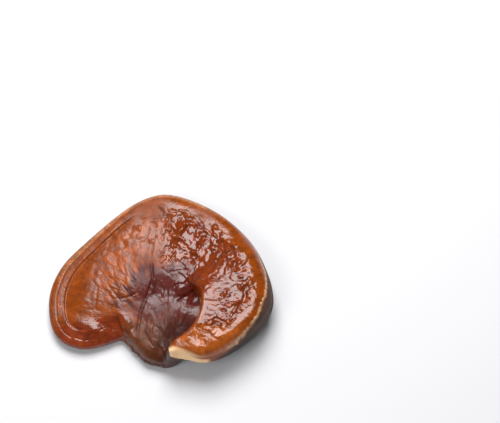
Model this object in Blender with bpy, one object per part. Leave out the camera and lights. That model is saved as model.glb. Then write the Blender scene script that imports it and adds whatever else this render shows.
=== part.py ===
"""Reishi mushroom, grown as one piece: a kidney-shaped lacquered cap and the short stem at its notch.

It lies on its pore surface. X runs across the cap, +Y points to the cap's far margin and -Y to the stem's
cut end. Every length is in millimetres until the mesh is written, and heights count from the ground.
"""

import math

import bmesh
import bpy
from mathutils import Vector, kdtree, noise

NAME = "reishi_mushroom"
MM = 0.001

# Margin, anticlockwise from the right: x and y from the hub, height of the blunt edge's upper and lower
# side, then how far in from the edge the upper side and the underside take to level out.
MARGIN = (
    (53.5, 4.0, 14.0, 9.0, 11.0, 26.0),
    (51.0, 16.0, 13.5, 9.0, 11.0, 24.0),
    (43.5, 32.5, 13.0, 8.5, 11.0, 20.0),
    (30.0, 47.5, 12.0, 7.5, 10.0, 17.0),
    (14.0, 57.5, 11.0, 6.5, 10.0, 15.0),
    (-1.0, 62.0, 10.5, 6.0, 9.0, 14.0),
    (-13.5, 59.0, 10.0, 5.5, 8.0, 13.0),
    (-26.0, 50.5, 9.5, 5.0, 7.0, 12.0),
    (-41.5, 36.0, 8.5, 4.5, 6.0, 11.0),
    (-53.0, 23.0, 7.5, 4.0, 6.0, 10.0),
    (-58.5, 8.0, 7.0, 3.5, 6.0, 9.0),
    (-57.0, -8.0, 6.5, 3.5, 6.0, 9.0),
    (-51.0, -17.0, 6.0, 3.0, 7.0, 8.0),
    (-41.0, -20.5, 5.5, 2.5, 8.0, 7.0),
    (-31.0, -18.5, 5.0, 2.0, 8.0, 6.0),
    (-22.5, -15.5, 4.5, 1.5, 6.0, 5.0),
    (-18.0, -18.5, 5.0, 1.5, 4.0, 4.0),
    (-12.5, -24.0, 6.0, 1.5, 4.0, 4.0),
    (-8.5, -27.5, 6.0, 1.5, 4.0, 4.0),
    (0.0, -29.8, 6.5, 1.5, 4.0, 4.0),
    (3.5, -29.5, 12.0, 1.5, 2.5, 4.0),
    (6.0, -28.8, 17.0, 3.0, 2.5, 5.0),
    (8.5, -28.3, 18.0, 10.0, 3.0, 8.0),
    (12.5, -29.3, 18.5, 11.0, 3.5, 13.0),
    (19.0, -31.0, 18.5, 12.0, 4.5, 20.0),
    (27.5, -28.5, 18.0, 10.0, 6.0, 22.0),
    (38.5, -21.0, 17.5, 7.5, 6.0, 22.0),
    (48.0, -12.0, 17.0, 8.0, 7.0, 24.0),
    (52.5, -4.0, 15.0, 8.5, 9.0, 26.0),
)

# Upper side in radial sections: direction in degrees, radius of the step between hub and cap, height of
# the hub at the step, height of the cap at the step, the height the cap reaches at its margin, and the
# width over which the step's higher side rounds off. The hub is level within its flat radius.
HUB_HEIGHT = 12.7
HUB_FLAT = 3.0
SECTIONS = (
    (10.0, 17.0, 12.2, 22.4, 24.4, 2.5),
    (22.0, 16.5, 12.4, 21.0, 24.0, 2.5),
    (33.0, 15.5, 13.4, 19.0, 23.5, 3.0),
    (45.0, 15.5, 14.6, 16.0, 19.3, 4.0),
    (58.0, 16.5, 15.0, 15.4, 17.4, 5.0),
    (110.0, 19.0, 15.3, 15.3, 14.5, 5.0),
    (150.0, 22.0, 14.5, 14.5, 9.5, 5.0),
    (180.0, 23.5, 12.3, 12.3, 7.5, 5.0),
    (192.0, 24.5, 11.4, 11.0, 7.0, 4.0),
    (203.0, 25.0, 11.4, 7.5, 7.0, 4.0),
    (213.0, 25.5, 10.8, 7.5, 6.5, 4.0),
    (222.0, 25.0, 10.2, 10.0, 9.5, 4.0),
    (235.0, 22.0, 11.0, 10.8, 9.5, 4.0),
    (255.0, 20.0, 12.0, 12.0, 9.5, 4.0),
    (270.0, 24.0, 10.5, 10.5, 10.0, 4.0),
    (276.0, 23.5, 9.5, 19.5, 19.5, 4.0),
    (283.0, 21.5, 9.0, 21.0, 21.5, 4.0),
    (291.0, 20.0, 8.5, 22.0, 22.5, 4.5),
    (310.0, 19.0, 10.0, 23.5, 24.0, 4.0),
    (330.0, 18.5, 11.8, 24.0, 25.0, 2.5),
    (350.0, 17.5, 12.6, 23.5, 25.0, 2.5),
)

# The most of the cap's width that the rounding of the step takes.
STEP_SHARE = 0.35

# Swellings and hollows of the upper side: middle, half length, half width, direction in degrees, height.
SWELLINGS = (
    (-36.0, -12.5, 13.0, 3.5, -20.0, 2.3),
    (-18.0, -12.0, 10.0, 4.0, -63.0, 1.5),
    (15.0, 3.5, 5.0, 3.0, 65.0, -1.6),
    (-49.5, 6.0, 14.0, 5.5, 75.0, -0.9),
    (-41.0, 4.0, 13.0, 6.0, 80.0, 0.6),
    (2.0, -13.0, 10.0, 7.0, -80.0, 1.2),
    (10.5, -4.0, 6.0, 4.5, -50.0, 0.5),
    (8.0, 7.5, 6.0, 4.0, 0.0, 0.7),
)

# Crease from the cap down the left side of the stem.
CREASE = ((-8.0, 22.0), (-6.5, 13.0), (-9.0, 5.0), (-12.5, -4.5), (-13.5, -15.5), (-13.5, -22.0))
CREASE_DEPTH = 1.4
CREASE_HALF_WIDTH = 2.8

# Wrinkles of the crust, radial on the cap and along the stem inside the hub's radius.
WRINKLE_HEIGHT = 0.7
WRINKLES_PER_RADIAN = 5.0
WRINKLE_LENGTH = 14.0
STEM_WRINKLE_WIDTH = 4.0
HUB_RADIUS = 10.0

# Groove that sets off a bead along the margin, and the directions it runs between.
GROOVE_PLACE = 6.0
GROOVE_DEPTH = 0.8
GROOVE_HALF_WIDTH = 1.6
GROOVE_FROM = 95.0
GROOVE_TO = 205.0
GROOVE_FADE = 15.0

# Tip of the right lobe, which leans out over the stem: its middle, its reach and how far it leans.
TIP = (6.0, -26.0)
TIP_RADIUS = 7.0
TIP_LEAN = (-1.0, -0.8)
TIP_FOOT = 9.5
TIP_RISE = 5.0

# How far the blunt edge bulges out, and how quickly the underside rises to it.
EDGE_BULGE = 0.8
UNDER_POWER = 1.6

# Fineness of the surface: segments to each span of the margin, and rings on each side.
SPAN_SEGMENTS = 4
MARGIN_SAMPLES = 40
HUB_RINGS = 9
CAP_RINGS = 20
EDGE_RINGS = 4
UNDER_RINGS = 7
RING_CROWDING = 0.6

COLOUR = (0.27, 0.065, 0.018, 1.0)
ROUGHNESS = 0.3


def ease(value):
    """0 below 0, 1 above 1, and level at both ends between."""
    value = min(max(value, 0.0), 1.0)
    return value * value * (3 - 2 * value)


def settle(value):
    """0 below 0, 1 above 1, and neither sloping nor bent at both ends between."""
    value = min(max(value, 0.0), 1.0)
    return value**3 * (6 * value * value - 15 * value + 10)


def level(distance, width):
    """0 up to distance 0, then a quarter ellipse that reaches 1 at the width."""
    short = min(max(1 - distance / width, 0.0), 1.0)
    return math.sqrt(1 - short * short)


def along_margin(place):
    """Margin values at a place that counts the spans from the first point, smooth through all points."""
    span = math.floor(place)
    part = place - span
    a, b, c, d = (Vector(MARGIN[(span + step) % len(MARGIN)]) for step in (-1, 0, 1, 2))
    bend = 2 * a - 5 * b + 4 * c - d + (3 * b - a - 3 * c + d) * part
    return b + 0.5 * part * (c - a + part * bend)


def section(angle):
    """Step radius, hub, cap and margin heights, and rounding of the section at an angle in degrees."""
    count = len(SECTIONS)
    angle = (angle - SECTIONS[0][0]) % 360 + SECTIONS[0][0]
    index = max(i for i in range(count) if SECTIONS[i][0] <= angle)

    def key(number):
        turn, place = divmod(number, count)
        return SECTIONS[place][0] + 360 * turn, Vector(SECTIONS[place][1:])

    (a0, v0), (a1, v1), (a2, v2), (a3, v3) = (key(index + step) for step in (-1, 0, 1, 2))
    width = a2 - a1
    part = (angle - a1) / width
    slope_in = (v2 - v0) * (width / (a2 - a0))
    slope_out = (v3 - v1) * (width / (a3 - a1))
    rise = v2 - v1
    bend = 3 * rise - 2 * slope_in - slope_out + part * (slope_in + slope_out - 2 * rise)
    return v1 + part * (slope_in + part * bend)


def swelling(x, y):
    """Height that the swellings and hollows add at a place."""
    height = 0.0
    for middle_x, middle_y, half_length, half_width, turn, rise in SWELLINGS:
        turn = math.radians(turn)
        along = (x - middle_x) * math.cos(turn) + (y - middle_y) * math.sin(turn)
        across = (y - middle_y) * math.cos(turn) - (x - middle_x) * math.sin(turn)
        height += rise * math.exp(-(along / half_length) ** 2 - (across / half_width) ** 2)
    return height


def crease(x, y):
    """Depth of the long crease at a place, fading at both of its ends."""
    place = Vector((x, y))
    nearest, along = CREASE_HALF_WIDTH, 0.0
    for number, (start, end) in enumerate(zip(CREASE, CREASE[1:])):
        start, run = Vector(start), Vector(end) - Vector(start)
        part = min(max((place - start).dot(run) / run.length_squared, 0.0), 1.0)
        aside = (place - start - run * part).length
        if aside < nearest:
            nearest, along = aside, number + part
    fade = ease(along) * ease(len(CREASE) - 1 - along)
    return CREASE_DEPTH * fade * (1 - (nearest / CREASE_HALF_WIDTH) ** 2) ** 2


def wrinkle(x, y):
    """Height of the wrinkles at a place: radial on the cap, along the stem on the hub."""
    radius = math.hypot(x, y)
    spot = Vector((x, y, 0)).normalized() * WRINKLES_PER_RADIAN
    spot.z = radius / WRINKLE_LENGTH
    stem_spot = Vector((x / STEM_WRINKLE_WIDTH, y / WRINKLE_LENGTH, 0))
    share = ease((radius - HUB_RADIUS) / HUB_RADIUS)
    return WRINKLE_HEIGHT * (share * noise.noise(spot) + (1 - share) * noise.noise(stem_spot))


def groove(x, y, distance):
    """Depth of the groove inside the margin at a place and its distance from the margin."""
    angle = math.degrees(math.atan2(y, x)) % 360
    share = ease((angle - GROOVE_FROM) / GROOVE_FADE) * ease((GROOVE_TO - angle) / GROOVE_FADE)
    aside = min(abs(distance - GROOVE_PLACE) / GROOVE_HALF_WIDTH, 1.0)
    return GROOVE_DEPTH * share * (1 - aside * aside) ** 2


def upper_height(x, y, reach):
    """Height of the upper side before the margin rolls over."""
    radius = math.hypot(x, y)
    step, foot, top, outer, width = section(math.degrees(math.atan2(y, x)))
    hub = HUB_HEIGHT + (foot - HUB_HEIGHT) * settle((radius - HUB_FLAT) / (step - HUB_FLAT))
    cap = top + (outer - top) * max((radius - step) / (reach - step), 0.0)
    rounding = min(width, STEP_SHARE * (reach - step))
    if cap > hub:
        height = hub + (cap - hub) * level(radius - step, rounding)
    else:
        height = cap + (hub - cap) * level(step - radius, rounding)
    return height + swelling(x, y) + wrinkle(x, y) - crease(x, y)


def leant(point):
    """The point after the lobe's tip has leant out over the stem."""
    aside = (point.xy - Vector(TIP)).length / TIP_RADIUS
    share = ease((point.z - TIP_FOOT) / TIP_RISE) * math.exp(-aside * aside)
    return point + share * Vector(TIP_LEAN).to_3d()


def margin_finder():
    """Tree of the margin in plan, and the margin values of each of its points."""
    samples = MARGIN_SAMPLES * len(MARGIN)
    tree = kdtree.KDTree(samples)
    values = [along_margin(i / MARGIN_SAMPLES) for i in range(samples)]
    for i, value in enumerate(values):
        tree.insert((value[0], value[1], 0), i)
    tree.balance()
    return tree, values


def upper_point(ring, edge, finder):
    """Point of the upper side, on a ring that counts out from the hub."""
    tree, values = finder
    reach = math.hypot(edge[0], edge[1])
    step = section(math.degrees(math.atan2(edge[1], edge[0])))[0]
    if ring <= HUB_RINGS:
        radius = step * math.sin(ring / HUB_RINGS * math.pi / 2)
    else:
        part = (ring - HUB_RINGS) / CAP_RINGS
        part -= RING_CROWDING * math.sin(math.tau * part) / math.tau
        radius = step + (reach - step) * part
    x, y = edge[0] * radius / reach, edge[1] * radius / reach
    index, distance = tree.find((x, y, 0))[1:]
    upper_edge, roll_over = values[index][2], values[index][4]
    height = upper_edge + (upper_height(x, y, reach) - upper_edge) * level(distance, roll_over)
    return leant(Vector((x, y, height - groove(x, y, distance))))


def edge_point(ring, edge):
    """Point of the blunt edge, on a ring that counts down from its upper side."""
    x, y, upper_edge, lower_edge = edge[:4]
    part = ring / EDGE_RINGS
    out = 1 + EDGE_BULGE * math.sin(math.pi * part) / math.hypot(x, y)
    return leant(Vector((x * out, y * out, upper_edge + (lower_edge - upper_edge) * part)))


def under_point(ring, edge):
    """Point of the underside, on a ring that counts in from the edge."""
    x, y, lower_edge, roll_under = edge[0], edge[1], edge[3], edge[5]
    share = math.cos(ring / (UNDER_RINGS + 1) * math.pi / 2)
    inward = math.hypot(x, y) * (1 - share)
    return Vector((x * share, y * share, lower_edge * max(1 - inward / roll_under, 0.0) ** UNDER_POWER))


def mushroom_mesh():
    """A sphere whose poles become the hub's top and its underside, and its middle the blunt edge."""
    finder = margin_finder()
    edge_start = HUB_RINGS + CAP_RINGS
    under_start = edge_start + EDGE_RINGS
    rings = under_start + UNDER_RINGS + 1
    segments = SPAN_SEGMENTS * len(MARGIN)
    mesh = bmesh.new()
    bmesh.ops.create_uvsphere(mesh, u_segments=segments, v_segments=rings, radius=1)
    for vertex in mesh.verts:
        ring = round(vertex.co.angle((0, 0, 1)) / math.pi * rings)
        turn = round(math.atan2(vertex.co.y, vertex.co.x) / math.tau * segments)
        edge = along_margin(turn / SPAN_SEGMENTS)
        if ring < edge_start:
            vertex.co = upper_point(ring, edge, finder)
        elif ring <= under_start:
            vertex.co = edge_point(ring - edge_start, edge)
        else:
            vertex.co = under_point(ring - under_start, edge)
    return mesh


def centred(mesh):
    """Moves the mesh so that its box stands on the origin, and turns it into metres."""
    low = Vector([min(v.co[axis] for v in mesh.verts) for axis in range(3)])
    high = Vector([max(v.co[axis] for v in mesh.verts) for axis in range(3)])
    foot = Vector(((low.x + high.x) / 2, (low.y + high.y) / 2, low.z))
    for vertex in mesh.verts:
        vertex.co = (vertex.co - foot) * MM


def crust():
    """Varnished red-brown crust."""
    material = bpy.data.materials.new("lacquered_crust")
    material.use_nodes = True
    shader = material.node_tree.nodes["Principled BSDF"]
    shader.inputs["Base Color"].default_value = COLOUR
    shader.inputs["Roughness"].default_value = ROUGHNESS
    return material


def main():
    for thing in list(bpy.data.objects):
        bpy.data.objects.remove(thing)
    mesh = mushroom_mesh()
    centred(mesh)
    data = bpy.data.meshes.new(NAME)
    mesh.to_mesh(data)
    mesh.free()
    data.shade_smooth()
    data.materials.append(crust())
    parts = bpy.data.collections.new("reishi mushroom")
    bpy.context.scene.collection.children.link(parts)
    parts.objects.link(bpy.data.objects.new(NAME, data))


main()
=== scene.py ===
"""Dresses a reishi mushroom: wrinkled lacquered crust, cream growing edge, pore side painted dark as its
shade, pale stage.

Lengths in the tables are millimetres, in plan from the middle of the hub and in height from the ground.
"""

import functools
import math
import types

import bmesh
import bpy
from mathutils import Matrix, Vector, kdtree, noise


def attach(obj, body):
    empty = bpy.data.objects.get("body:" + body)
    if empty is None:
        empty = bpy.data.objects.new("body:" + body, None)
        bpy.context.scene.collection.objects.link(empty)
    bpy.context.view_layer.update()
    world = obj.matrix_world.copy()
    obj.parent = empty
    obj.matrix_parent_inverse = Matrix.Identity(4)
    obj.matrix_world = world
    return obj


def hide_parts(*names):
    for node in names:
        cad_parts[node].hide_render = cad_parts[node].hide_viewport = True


bl_info = {
    "name": "Reishi mushroom",
    "version": (1, 0, 0),
    "blender": (4, 5, 0),
    "location": "View3D > Sidebar > Reishi",
    "description": "Grows a lacquered reishi mushroom and lights it on a pale table",
    "category": "Add Mesh",
}

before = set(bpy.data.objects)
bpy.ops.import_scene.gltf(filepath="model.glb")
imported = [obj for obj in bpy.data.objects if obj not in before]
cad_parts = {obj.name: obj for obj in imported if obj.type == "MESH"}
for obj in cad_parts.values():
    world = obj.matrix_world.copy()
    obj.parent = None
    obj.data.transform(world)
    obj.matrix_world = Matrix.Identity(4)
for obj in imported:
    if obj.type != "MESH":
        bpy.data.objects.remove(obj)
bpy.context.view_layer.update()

NODE = "reishi_mushroom"
MM = 0.001

# Middle of the hub in the frame.
HUB = Vector((2.5716, -15.5537, 0.0))

# Margin, anticlockwise from the right: x and y, height of the blunt edge's upper and lower side, then how
# far in from the edge the upper side and the underside take to level out.
MARGIN = (
    (53.5, 4.0, 14.0, 9.0, 11.0, 26.0),
    (51.0, 16.0, 13.5, 9.0, 11.0, 24.0),
    (43.5, 32.5, 13.0, 8.5, 11.0, 20.0),
    (30.0, 47.5, 12.0, 7.5, 10.0, 17.0),
    (14.0, 57.5, 11.0, 6.5, 10.0, 15.0),
    (-1.0, 62.0, 10.5, 6.0, 9.0, 14.0),
    (-13.5, 59.0, 10.0, 5.5, 8.0, 13.0),
    (-26.0, 50.5, 9.5, 5.0, 7.0, 12.0),
    (-41.5, 36.0, 8.5, 4.5, 6.0, 11.0),
    (-53.0, 23.0, 7.5, 4.0, 6.0, 10.0),
    (-58.5, 8.0, 7.0, 3.5, 6.0, 9.0),
    (-57.0, -8.0, 6.5, 3.5, 6.0, 9.0),
    (-51.0, -17.0, 6.0, 3.0, 7.0, 8.0),
    (-41.0, -20.5, 5.5, 2.5, 8.0, 7.0),
    (-31.0, -18.5, 5.0, 2.0, 8.0, 6.0),
    (-22.5, -15.5, 4.5, 1.5, 6.0, 5.0),
    (-18.0, -18.5, 5.0, 1.5, 4.0, 4.0),
    (-12.5, -24.0, 6.0, 1.5, 4.0, 4.0),
    (-8.5, -27.5, 6.0, 1.5, 4.0, 4.0),
    (0.0, -29.8, 6.5, 1.5, 4.0, 4.0),
    (3.5, -29.5, 12.0, 1.5, 2.5, 4.0),
    (6.0, -28.8, 17.0, 3.0, 2.5, 5.0),
    (8.5, -28.3, 18.0, 10.0, 3.0, 8.0),
    (12.5, -29.3, 18.5, 11.0, 3.5, 13.0),
    (19.0, -31.0, 18.5, 12.0, 4.5, 20.0),
    (27.5, -28.5, 18.0, 10.0, 6.0, 22.0),
    (38.5, -21.0, 17.5, 7.5, 6.0, 22.0),
    (48.0, -12.0, 17.0, 8.0, 7.0, 24.0),
    (52.5, -4.0, 15.0, 8.5, 9.0, 26.0),
)

# Upper side in radial sections: direction in degrees, radius of the step between hub and cap, height of
# the hub at the step, height of the cap at the step, the height the cap reaches at its margin, and the
# width over which the step's higher side rounds off. The hub is level within its flat radius.
HUB_HEIGHT = 12.7
HUB_FLAT = 3.0
SECTIONS = (
    (10.0, 17.0, 12.2, 22.4, 24.4, 2.5),
    (22.0, 16.5, 12.4, 21.0, 24.0, 2.5),
    (33.0, 15.5, 13.4, 19.0, 23.5, 3.0),
    (45.0, 15.5, 14.6, 16.0, 19.3, 4.0),
    (58.0, 16.5, 15.0, 15.4, 17.4, 5.0),
    (110.0, 19.0, 15.3, 15.3, 14.5, 5.0),
    (150.0, 22.0, 14.5, 14.5, 9.5, 5.0),
    (180.0, 23.5, 12.3, 12.3, 7.5, 5.0),
    (192.0, 24.5, 11.4, 11.0, 7.0, 4.0),
    (203.0, 25.0, 11.4, 7.5, 7.0, 4.0),
    (213.0, 25.5, 10.8, 7.5, 6.5, 4.0),
    (222.0, 25.0, 10.2, 10.0, 9.5, 4.0),
    (235.0, 22.0, 11.0, 10.8, 9.5, 4.0),
    (255.0, 20.0, 12.0, 12.0, 9.5, 4.0),
    (270.0, 24.0, 10.5, 10.5, 10.0, 4.0),
    (276.0, 23.5, 9.5, 19.5, 19.5, 4.0),
    (283.0, 21.5, 9.0, 21.0, 21.5, 4.0),
    (291.0, 20.0, 8.5, 22.0, 22.5, 4.5),
    (310.0, 19.0, 10.0, 23.5, 24.0, 4.0),
    (330.0, 18.5, 11.8, 24.0, 25.0, 2.5),
    (350.0, 17.5, 12.6, 23.5, 25.0, 2.5),
)

# The most of the cap's width that the rounding of the step takes.
STEP_SHARE = 0.35

# Swellings and hollows of the upper side: middle, half length, half width, direction in degrees, height.
SWELLINGS = (
    (-36.0, -12.5, 13.0, 3.5, -20.0, 2.3),
    (-18.0, -12.0, 10.0, 4.0, -63.0, 1.5),
    (15.0, 3.5, 5.0, 3.0, 65.0, -1.6),
    (-49.5, 6.0, 14.0, 5.5, 75.0, -0.9),
    (-41.0, 4.0, 13.0, 6.0, 80.0, 0.6),
    (2.0, -13.0, 10.0, 7.0, -80.0, 1.2),
    (10.5, -4.0, 6.0, 4.5, -50.0, 0.5),
    (8.0, 7.5, 6.0, 4.0, 0.0, 0.7),
)

# Creases: depth, half width, then their points.
CREASES = (
    (0.55, 1.1, (-8.0, 24.0), (-6.5, 13.0), (-9.0, 5.0), (-12.5, -4.5), (-13.5, -15.5), (-13.5, -22.0)),
    (0.4, 0.8, (-10.6, -12.9), (-8.6, -17.2), (-6.6, -20.6), (-5.0, -23.0)),
    (0.3, 0.7, (-29.0, 10.0), (-27.1, 7.6), (-24.4, 3.8), (-21.0, -0.5)),
    (0.25, 0.8, (-34.3, 11.0), (-34.7, 5.6), (-35.0, 1.3), (-35.4, -3.0)),
    (0.4, 0.9, (-23.0, 2.5), (-17.8, 3.8), (-13.0, 6.5)),
    (0.4, 0.8, (-5.0, 24.0), (-2.2, 26.3), (-0.3, 30.1), (5.9, 29.6), (11.5, 26.0)),
    (0.35, 0.7, (6.0, 29.0), (2.9, 24.0), (0.5, 20.5)),
    (0.3, 0.7, (-6.0, 38.0), (-6.9, 29.7), (-8.0, 23.0)),
    (0.3, 0.7, (-9.0, 43.0), (-9.7, 37.6), (-11.5, 33.5)),
    (0.35, 0.8, (-13.0, 45.0), (-9.0, 47.1), (-3.5, 46.5)),
    (0.25, 0.6, (26.0, 8.3), (34.5, 9.6)),
    (0.25, 0.6, (18.5, -1.5), (24.7, -2.6), (30.5, -1.2)),
    (0.25, 0.6, (20.5, -10.0), (24.9, -12.3), (28.0, -13.0)),
    (0.45, 0.8, (18.5, -17.8), (22.5, -19.7), (25.0, -22.8), (28.0, -23.6)),
    (0.45, 0.9, (27.5, -13.0), (31.3, -15.5), (34.2, -19.2)),
    (0.35, 0.7, (20.1, -22.0), (21.1, -28.0)),
    (0.5, 1.0, (5.5, 0.8), (10.0, 4.0), (13.5, 6.8), (16.0, 10.0)),
    (0.35, 0.8, (11.5, 0.0), (15.0, 2.5)),
)

# Facets of the crust that lean their own way: middle, reach, direction in degrees that they fall in, slope.
FACETS = (
    (5.2, 40.5, 5.8, 200.0, 0.30),
    (4.6, 34.0, 5.2, 250.0, 0.28),
    (12.0, 41.5, 2.6, 250.0, 0.30),
    (25.5, 37.5, 2.8, 40.0, 0.30),
    (31.5, 33.5, 2.4, 20.0, 0.30),
    (11.0, 47.0, 2.4, 280.0, 0.28),
    (18.5, 42.5, 2.2, 90.0, 0.28),
    (-6.0, 44.0, 3.0, 250.0, 0.26),
    (-3.0, 36.5, 2.6, 300.0, 0.26),
    (-8.5, 33.0, 2.4, 200.0, 0.26),
    (1.0, 48.0, 2.6, 270.0, 0.26),
    (-17.0, 41.0, 3.6, 200.0, 0.20),
    (-20.5, 33.0, 3.2, 230.0, 0.20),
    (-13.5, 35.5, 2.6, 300.0, 0.22),
    (-12.5, 46.0, 2.6, 270.0, 0.22),
    (8.5, 7.5, 5.5, 90.0, 0.2),
    (-4.0, 8.0, 5.0, 270.0, 0.08),
    (13.0, 51.5, 2.4, 250.0, 0.24),
    (22.0, 47.0, 2.6, 220.0, 0.26),
    (28.0, 42.0, 2.4, 300.0, 0.26),
    (6.0, 52.5, 2.4, 290.0, 0.24),
    (24.0, 42.0, 2.2, 160.0, 0.26),
    (34.5, 38.0, 2.2, 40.0, 0.28),
    (15.1, 28.5, 3.8, 20.0, 0.32),
    (14.1, 23.6, 3.2, 300.0, 0.30),
    (19.1, 35.2, 3.4, 80.0, 0.30),
    (26.3, 29.7, 4.6, 30.0, 0.30),
    (25.3, 22.7, 3.6, 290.0, 0.32),
    (36.5, 15.1, 3.6, 200.0, 0.30),
    (39.5, 4.6, 3.6, 0.0, 0.30),
    (30.6, 0.7, 3.0, 160.0, 0.30),
    (29.7, -6.2, 3.2, 250.0, 0.30),
    (37.6, -6.6, 3.4, 320.0, 0.32),
    (34.2, -11.9, 3.2, 300.0, 0.30),
    (18.0, 15.5, 2.8, 300.0, 0.30),
    (22.0, 19.0, 2.2, 250.0, 0.28),
    (26.5, 21.5, 2.6, 290.0, 0.30),
    (31.0, 25.0, 2.2, 240.0, 0.30),
    (35.0, 27.0, 2.4, 300.0, 0.30),
    (31.5, 14.5, 2.2, 340.0, 0.28),
    (37.5, 9.5, 2.0, 270.0, 0.28),
    (20.5, 26.5, 2.2, 200.0, 0.28),
    (9.0, 31.5, 2.4, 280.0, 0.26),
)

# Bounding circles of the creases, so that a place looks only at those near it.
CREASE_BOUNDS = [
    (middle := sum((Vector(point) for point in points), Vector((0, 0))) / len(points),
     half_width + max((Vector(point) - middle).length for point in points))
    for _, half_width, *points in CREASES
]

# Share of a cushion's width that its seams take, with how much and how finely that varies, how far and how
# finely the cells wander from round, and the seed of that wander, so that each run grows the same crust.
CUSHION_SEAM = 0.25
SEAM_VARIES = (1.4, 1.3)
CUSHION_WANDER = 0.35
WANDER_WAVES = 0.9
WANDER_SEED = 7

# Spreads the cells' middles apart, so that each cushion draws a lean of its own.
CUSHION_APART = 7.3

# Where the crust's cushions end on the left, over how far they and the feathers that take their place there
# fade in, how fine the feathers are, and the share of their height and of their seams that shows.
SEAM_MIDDLE = -8.0
SEAM_FADE = 5.0
FEATHERS = 1.25
FEATHER_SHARE = 0.5
FEATHER_SEAM = 0.45

# Share of the cushions' height and of their seams that shows everywhere, and how much more of each where the
# crust is broken. How much higher the cushions are at the far right.
CUSHION_SHARE, CUSHION_BROKEN = 0.45, 0.55
SEAM_SHARE, SEAM_BROKEN = 0.5, 0.4
FAR_RIGHT_RISE = 0.8

# Middle that the left of the crust grew from, how far the right's lies from it, where along x the change
# starts and its width, and where the lines of growth start and come to their full strength.
GROWTH_MIDDLE = (-7.0, -9.0)
GROWTH_SHIFT = (20.0, 15.0)
GROWTH_FADE = (-4.0, 18.0)
SPREAD_FADE = (9.0, 10.0)

# Waves of the radial wrinkles to a radian, their length, the share and fineness of the finer ones, and the
# radius of the hub.
WRINKLE_WAVES = 7.0
WRINKLE_LENGTH = 9.0
FINE_WRINKLES = (0.4, 2.3)
HUB_RADIUS = 10.0

# Folds of the hub and the stem: share, width, length and layer of the noise.
FOLDS = ((1.0, 7.0, 9.0, 3), (0.35, 2.2, 5.0, 7), (0.3, 1.3, 2.2, 11))

# Reach of a ragged facet, as a share of the table's and how much it varies, and the share that slopes off.
FACET_RAGGED = (0.85, 0.6)
FACET_EDGE = 0.3

# Old dark crust round the hub: its middle, half length and half width, the share of these where it starts to
# fade and over which it does, and how ragged its border is.
OLD_CRUST = (-3.0, 5.0, 20.0, 20.0)
OLD_CRUST_FADE = (0.6, 0.6)
OLD_CRUST_RAGGED = 1.2

# Matt spots of the crust: middle and reach.
DULL_SPOTS = (
    (-15.0, -4.5, 5.5),
    (-9.0, 53.0, 9.0),
    (-10.0, 20.0, 8.0),
    (0.0, -7.0, 7.0),
    (2.0, -17.0, 7.0),
    (-10.0, -16.0, 6.0),
    (18.0, 49.0, 7.0),
)

# Glossy patch of the hub: middle and reach, the share of the folds that it lacks, and its added gloss. Least
# gloss of the crust.
GLOSSY_PATCH = (9.0, 9.0, 6.5)
PATCH_CALM = 0.6
PATCH_GLOSS = 0.4
LEAST_GLOSS = 0.42

# Bead along the left margin: its groove's distance from the margin, depth and half width, how far and how
# finely the groove wanders, its usual depth as a share and how finely the depth varies, then the fall to the
# dish inside it: depth, distance from the margin, width of the fall and length of its run-out.
BEAD_GROOVE = (3.2, 0.25, 0.6)
GROOVE_WANDER = (0.5, 1.7)
GROOVE_VARIES = (0.9, 3.1)
DISH_DEPTH = 1.1
DISH_START = 7.0
DISH_FALL = 0.7
DISH_FADE = 5.0

# Cream lip of the growing edge: the places it runs between, how far in it reaches, the place where it starts
# to narrow and by how much it does, the width of its fading on top and on the edge, its lowest height, how
# much higher its left end starts, and the place, run and power of that corner's fall.
LIP_FROM, LIP_TO = 20.4, 24.25
LIP_REACH = 2.2
LIP_NARROWING = (21.2, 5.0)
LIP_FADE = 2.4
LIP_EDGE_FADE = 1.2
LIP_FOOT = 11.5
LIP_CORNER = 5.5
LIP_CORNER_FALL = (20.3, 3.4, 1.5)

# Crinkled line of pale beads round the right edge: its places with its distance from the margin there,
# counted past the last point to the first. Its height, half width and share of pale flesh, how far it
# wanders, the usual height of a bead as a share and how much that varies, and how its ends fade.
BEADS_LINE = ((25.5, 0.0), (27.0, 2.3), (28.0, 4.0), (29.0, 3.2), (30.0, 1.4), (31.5, 0.9))
BEADS_HEIGHT = 0.6
BEADS_HALF_WIDTH = 0.42
BEADS_PALE = 0.7
BEADS_WANDER = 0.6
BEADS_VARY = (0.75, 0.9)
BEADS_ENDS = (0.3, 1.3, 0.8)

# Dark valley round the right of the cap: its distance from the margin and how far it wanders, its half width
# and how much that varies, its depth, and the share of its length that is open and how much that varies.
RING_DISTANCE = 12.5
RING_WANDER = 3.0
RING_HALF_WIDTH = 2.2
RING_VARIES = 1.2
RING_DEPTH = 0.7
RING_OPEN = (0.9, 1.6)

# Tip of the right lobe, which leans out over the stem: its middle, its reach and how far it leans.
TIP = (6.0, -26.0)
TIP_RADIUS = 7.0
TIP_LEAN = (-1.0, -0.8)
TIP_FOOT = 9.5
TIP_RISE = 5.0

# How far the blunt edge bulges out, and how steeply the underside rises to it.
EDGE_BULGE = 0.8
UNDER_POWER = 1.6

# How far the torn edge at the stem's lower left goes in and out, its waves to a millimetre, and how dark its
# ins and outs are.
TORN = 0.8
TORN_WAVES = 0.7
TORN_DARK = 1.6

# Share of the edge's height where the pore layer's colour starts as painted shade, and over which it comes up
# to its full colour.
PORE_SHADE_FADE = (0.2, 0.2)

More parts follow.
